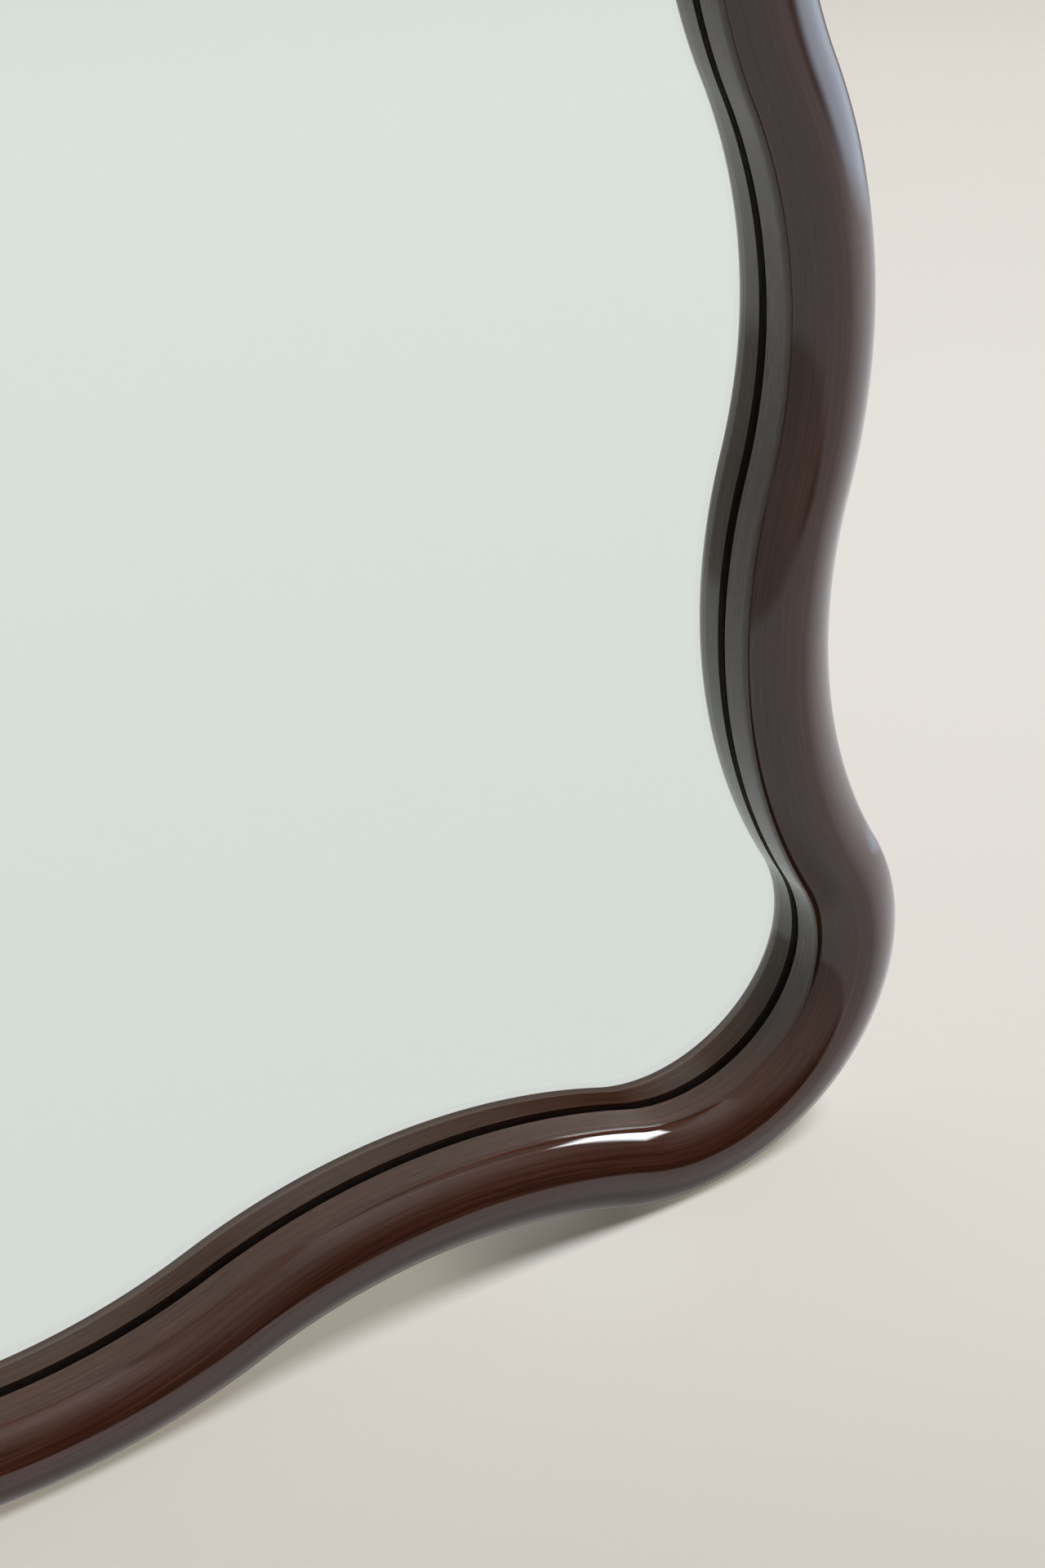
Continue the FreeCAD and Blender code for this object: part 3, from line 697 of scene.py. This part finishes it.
def spread_tree():
    """Node tree that cuts a form once and sets it on every place, each turned a different way."""
    tree = bpy.data.node_groups.new("spread", "GeometryNodeTree")
    tree.interface.new_socket("Spread", in_out="OUTPUT", socket_type="NodeSocketGeometry")
    tree.interface.new_socket("Places", in_out="INPUT", socket_type="NodeSocketObject")
    tree.interface.new_socket("Form", in_out="INPUT", socket_type="NodeSocketObject")
    tree.interface.new_socket("Recess", in_out="INPUT", socket_type="NodeSocketObject")
    tree.interface.new_socket("Seed", in_out="INPUT", socket_type="NodeSocketInt")
    tree.interface.new_socket("Finish", in_out="INPUT", socket_type="NodeSocketMaterial")
    given = node(tree, "NodeGroupInput")
    places = node(tree, "GeometryNodeObjectInfo", inputs={"Object": given.outputs["Places"]})
    form = node(tree, "GeometryNodeObjectInfo", inputs={"Object": given.outputs["Form"]})
    recess = node(tree, "GeometryNodeObjectInfo", inputs={"Object": given.outputs["Recess"]})
    cut = node(tree, "GeometryNodeMeshBoolean", {"operation": "DIFFERENCE", "solver": "EXACT"},
               {"Mesh 1": form.outputs["Geometry"], "Mesh 2": recess.outputs["Geometry"]})
    turn = node(tree, "FunctionNodeRandomValue", {"data_type": "FLOAT_VECTOR"},
                {"Min": (0.0, 0.0, 0.0), "Max": (0.0, math.pi / 2.0, 0.0), "Seed": given.outputs["Seed"]})
    copies = node(tree, "GeometryNodeInstanceOnPoints",
                  inputs={"Points": places.outputs["Geometry"], "Instance": cut.outputs["Mesh"],
                          "Rotation": turn.outputs["Value"]})
    real = node(tree, "GeometryNodeRealizeInstances", inputs={"Geometry": copies.outputs["Instances"]})
    smooth = node(tree, "GeometryNodeSetShadeSmooth", inputs={"Geometry": real.outputs["Geometry"]})
    finished = node(tree, "GeometryNodeSetMaterial",
                    inputs={"Geometry": smooth.outputs["Geometry"], "Material": given.outputs["Finish"]})
    node(tree, "NodeGroupOutput", inputs={"Spread": finished.outputs["Geometry"]})
    return tree


def places_object(points):
    """Loose points for a node tree to set its copies on."""
    mesh = bpy.data.meshes.new("places")
    mesh.from_pydata(points, [], [])
    return add_piece("places", mesh)


def screw_foot(shank):
    """Profile of a screw from its shank down to the point."""
    radius, length = shank
    return [(radius, SCREW_TIP - length), (SCREW_POINT_SHARE * radius, -length), (0.0, -length)]


def spread(tree, name, points, form, recess, finish, slot, stands_for):
    """Set a form on all its places as one piece of the mirror's body, and take the helpers out."""
    places = places_object(points)
    values = {"Places": places, "Form": form, "Seed": TURN_SEED, "Finish": finish}
    if recess:
        values["Recess"] = recess
    mesh = grow(name, tree, values)
    put_on(add_piece(name, mesh), "mirror", slot, stands_for)
    for helper in (places, form, recess):
        if helper:
            drop(helper)


def make_screws_and_bumpers(finishes):
    """What repeats on the back: countersunk panel screws, pan-head hanger screws and rubber bumpers."""
    tree = spread_tree()
    steel = finishes["zinc_plated_steel"]
    # A panel screw stands on the crest of every lobe and valley
    crests = []
    for bends in MEMBERS.values():
        for bend in bends[1:-1]:
            facing = round((bend.start + bend.end) / math.pi) * math.pi / 2.0
            reach = bend.bulge * bend.radius + PANEL_SCREW_OFFSET
            place = bend.centre + heading(facing) * reach
            crests.append((place.x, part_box("back_panel")[1].y, place.z))
    radius, height = PANEL_SCREW_HEAD
    profile = [(0.0, 0.0), (radius - EDGE_ROUND, 0.0), (radius, -EDGE_ROUND)]
    profile.append((PANEL_SCREW_SHANK[0], -height))
    form = lathe("panel_screw", profile + screw_foot(PANEL_SCREW_SHANK))
    recess = cross_cutter(radius, 0.0)
    spread(tree, "countersunk_screws", crests, form, recess, steel, "zinc_plated_steel", "panel_screws")
    # Two pan-head screws hold each strap
    radius, height = HANGER_SCREW_HEAD
    low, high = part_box("hanger_screws")
    seats = []
    for across in (low.x + radius, high.x - radius):
        for level in (low.z + radius, high.z - radius):
            seats.append((across, low.y + HANGER_SCREW_SHANK[1], level))
    rise = height - HANGER_SCREW_RIM
    dome = (radius ** 2 + rise ** 2) / (2.0 * rise)
    edge = math.asin(radius / dome)
    profile = [(0.0, height)]
    for step in range(1, DOME_STEPS + 1):
        turn = edge * step / DOME_STEPS
        profile.append((dome * math.sin(turn), height - dome * (1.0 - math.cos(turn))))
    profile += [(radius, 0.0), (HANGER_SCREW_SHANK[0], 0.0)]
    form = lathe("hanger_screw", profile + screw_foot(HANGER_SCREW_SHANK))
    recess = cross_cutter(radius, height)
    spread(tree, "pan_head_screws", seats, form, recess, steel, "zinc_plated_steel", "hanger_screws")
    # One bumper near each corner of the back
    low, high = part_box("wall_bumpers")
    depth = high.y - low.y
    radius = BUMPER_RADIUS
    corners = [(across, low.y, level) for across in (low.x + radius, high.x - radius)
               for level in (low.z + radius, high.z - radius)]
    profile = [(0.0, depth)]
    profile += [(radius - BUMPER_ROUND + out, depth - BUMPER_ROUND + along)
                for out, along in arc((0.0, 0.0), BUMPER_ROUND, math.pi / 2.0, 0.0, BUMPER_STEPS)]
    profile += [(radius, 0.0), (0.0, 0.0)]
    form = lathe("bumper", profile)
    rubber = finishes["black_rubber"]
    spread(tree, "rubber_bumpers", corners, form, None, rubber, "black_rubber", "wall_bumpers")


# Stage

def make_floor():
    """A pale floor, matt like seamless paper, with painted light on it: a pool of light and a glow that lifts
    its shade.

    Lacquer and the mirror see the painted room in its place.
    """
    low, high = -FLOOR_HALF, FLOOR_HALF
    mesh = bpy.data.meshes.new("floor")
    corners = [(low, low, 0.0), (high, low, 0.0), (high, high, 0.0), (low, high, 0.0)]
    mesh.from_pydata(corners, [], [(0, 1, 2, 3)])
    floor = add_piece("floor", mesh)
    made, tree, shader = new_material("pale_paper_with_painted_light")
    place = object_place(tree)
    path = node(tree, "ShaderNodeLightPath")
    bounced = path.outputs["Is Diffuse Ray"]
    # Painted light: the paper is lighter near one place and darker away from it, and shows darker to bounced
    # light as painted shade on the frame
    pool_share = fade(tree, vector_math(tree, "DISTANCE", place, PAINTED_POOL_CENTRE), (0.0, PAINTED_POOL_REACH))
    painted_tint = mix(tree, bounced, ramp(tree, pool_share, PAINTED_FALLOFF), linear(PAINTED_DARK_BOUNCE))
    # Painted glow: the paper glows a warm grey that lifts the shade, less right by the corner lobe, and is
    # darkened where it glows more
    far = fade(tree, vector_math(tree, "DISTANCE", place, PAINTED_DEEP_SHADE), PAINTED_DEEP_SHADE_REACH, soft=True)
    painted_paper = mix(tree, far, PAINTED_PAPER_DEEP, PAINTED_PAPER_FAR)
    tree.links.new(vector_math(tree, "MULTIPLY", painted_tint, painted_paper), shader.inputs["Base Color"])
    bounced_glow_share = fade(tree, bounced, (0.0, 1.0), (1.0, PAINTED_GLOW_BOUNCED))
    glow = number_math(tree, "MULTIPLY", fade(tree, far, (0.0, 1.0), PAINTED_GLOW), bounced_glow_share)
    tree.links.new(glow, shader.inputs["Emission Strength"])
    shader.inputs["Emission Color"].default_value = linear(PAINTED_GLOW_COLOUR)
    shader.inputs["Roughness"].default_value = 0.9
    shader.inputs["Specular IOR Level"].default_value = 0.1
    clear = node(tree, "ShaderNodeBsdfTransparent")
    either = node(tree, "ShaderNodeMixShader",
                  inputs={0: path.outputs["Is Glossy Ray"], 1: shader.outputs[0], 2: clear.outputs[0]})
    tree.links.new(either.outputs[0], tree.get_output_node("ALL").inputs["Surface"])
    mesh.materials.append(made)


def toward(turn, rise):
    """Direction seen from the mirror: degrees from straight ahead to the right, and upwards."""
    turn, rise = math.radians(turn), math.radians(rise)
    return Vector((math.sin(turn) * math.cos(rise), -math.cos(turn) * math.cos(rise), math.sin(rise)))


def make_lamp():
    """A wide lamp overhead, in front and to the right, which gloss and glass don't show."""
    lamp = bpy.data.lights.new("overhead", "SUN")
    lamp.energy = KEY_STRENGTH
    lamp.angle = math.radians(KEY_WIDTH)
    made = bpy.data.objects.new("overhead", lamp)
    bpy.context.scene.collection.objects.link(made)
    made.rotation_euler = (-toward(*KEY_FROM)).to_track_quat("-Z", "Y").to_euler()
    made.visible_glossy = False
    made.visible_transmission = False


def make_room():
    """The room around: plain to the eye and in the mirror, and painted with a dark side for gloss."""
    world = bpy.data.worlds.new("studio")
    bpy.context.scene.world = world
    world.use_nodes = True
    tree = world.node_tree
    tree.nodes.clear()
    path = node(tree, "ShaderNodeLightPath")
    way = node(tree, "ShaderNodeTexCoord").outputs["Generated"]
    axes = node(tree, "ShaderNodeSeparateXYZ", inputs={"Vector": way})
    up = axes.outputs["Z"]
    height = fade(tree, up, (-1.0, 1.0))
    level = vector_math(tree, "NORMALIZE", vector_math(tree, "MULTIPLY", way, (1.0, 1.0, 0.0)))
    # Above the floor's far edge the sides are pale, apart from a dark one in front, towards the right
    front = fade(tree, vector_math(tree, "DOT_PRODUCT", level, DARK_AHEAD), DARK_EDGE)
    above = mix(tree, front, linear(ROOM_SIDES), ramp(tree, height, DARK_SIDE))
    # A softly lit bluish wall at the right, low down
    wall = fade(tree, vector_math(tree, "DOT_PRODUCT", way, toward(*WALL_FROM)), WALL_EDGE, soft=True)
    wall = number_math(tree, "MULTIPLY", wall, fade(tree, up, WALL_TOP))
    above = mix(tree, wall, above, WALL_LIGHT)
    # Below the edge is pale floor, brighter to the right, and the shade right under the rail
    right = fade(tree, vector_math(tree, "DOT_PRODUCT", level, (1.0, 0.0, 0.0)), GROUND_RIGHT)
    bright = number_math(tree, "MULTIPLY", right, fade(tree, up, GROUND_SHALLOW))
    below = mix(tree, bright, ramp(tree, height, GROUND), GROUND_LIGHT)
    under = fade(tree, vector_math(tree, "DOT_PRODUCT", way, UNDER_TOWARD), UNDER_EDGE, soft=True)
    below = mix(tree, under, below, linear(UNDER_SHADE))
    gloss = mix(tree, fade(tree, up, FLOOR_EDGE), below, above)
    # A soft-edged window at the right
    facing = toward(*WINDOW_FROM)
    beside = toward(WINDOW_FROM[0] + 90.0, 0.0)
    depth = vector_math(tree, "DOT_PRODUCT", way, facing)
    pane = fade(tree, depth, WINDOW_FRONT)
    for side, edges in ((beside, WINDOW_WIDTH), (facing.cross(beside), WINDOW_HEIGHT)):
        reach = number_math(tree, "DIVIDE", vector_math(tree, "DOT_PRODUCT", way, side), depth)
        inside = fade(tree, number_math(tree, "ABSOLUTE", reach), edges, soft=True)
        pane = number_math(tree, "MULTIPLY", pane, inside)
    gloss = mix(tree, pane, gloss, WINDOW_LIGHT)
    # Soft light comes from the front, and more from behind, where no lamp reaches
    dome = ramp(tree, fade(tree, axes.outputs["Y"], (-1.0, 1.0)), SOFT_LIGHT)
    lit = mix(tree, path.outputs["Is Glossy Ray"], dome, gloss)
    # The eye sees a plain pale room, also through the glass
    eye = number_math(tree, "MAXIMUM", path.outputs["Is Camera Ray"], path.outputs["Is Transmission Ray"])
    seen = mix(tree, eye, lit, ramp(tree, height, PALE_ROOM))
    back = node(tree, "ShaderNodeBackground", inputs={"Color": seen, "Strength": 1.0})
    node(tree, "ShaderNodeOutputWorld", inputs={"Surface": back.outputs[0]})


def make_camera():
    """The camera of the photograph, which looks down at the lower right corner."""
    level = Vector((math.cos(CAMERA_TURN), -math.sin(CAMERA_TURN), 0.0))
    onward = math.cos(CAMERA_DIP)
    ahead = Vector((math.sin(CAMERA_TURN) * onward, math.cos(CAMERA_TURN) * onward, -math.sin(CAMERA_DIP)))
    over = level.cross(ahead)
    right = level * math.cos(CAMERA_ROLL) + over * math.sin(CAMERA_ROLL)
    up = over * math.cos(CAMERA_ROLL) - level * math.sin(CAMERA_ROLL)
    corner = Vector((CORNER_X, LIP_Y, CORNER_LOW))
    place = corner - ahead * CAMERA_DISTANCE + right * CAMERA_ASIDE + up * CAMERA_ABOVE
    data = bpy.data.cameras.new("camera")
    data.sensor_width = SENSOR_MM
    data.lens = FOCAL_PIXELS / PIXELS_HIGH * SENSOR_MM
    data.clip_start = 0.05
    camera = bpy.data.objects.new("camera", data)
    bpy.context.scene.collection.objects.link(camera)
    turned = camera.matrix_world.copy()
    for row in range(3):
        turned[row] = (right[row], up[row], -ahead[row], place[row])
    camera.matrix_world = turned
    bpy.context.scene.camera = camera


bpy.context.scene.view_settings.view_transform = "Standard"
make_camera()
make_members()
make_mirror()
finishes = make_finishes()
dress_nodes(finishes)
make_screws_and_bumpers(finishes)
make_floor()
make_lamp()
make_room()
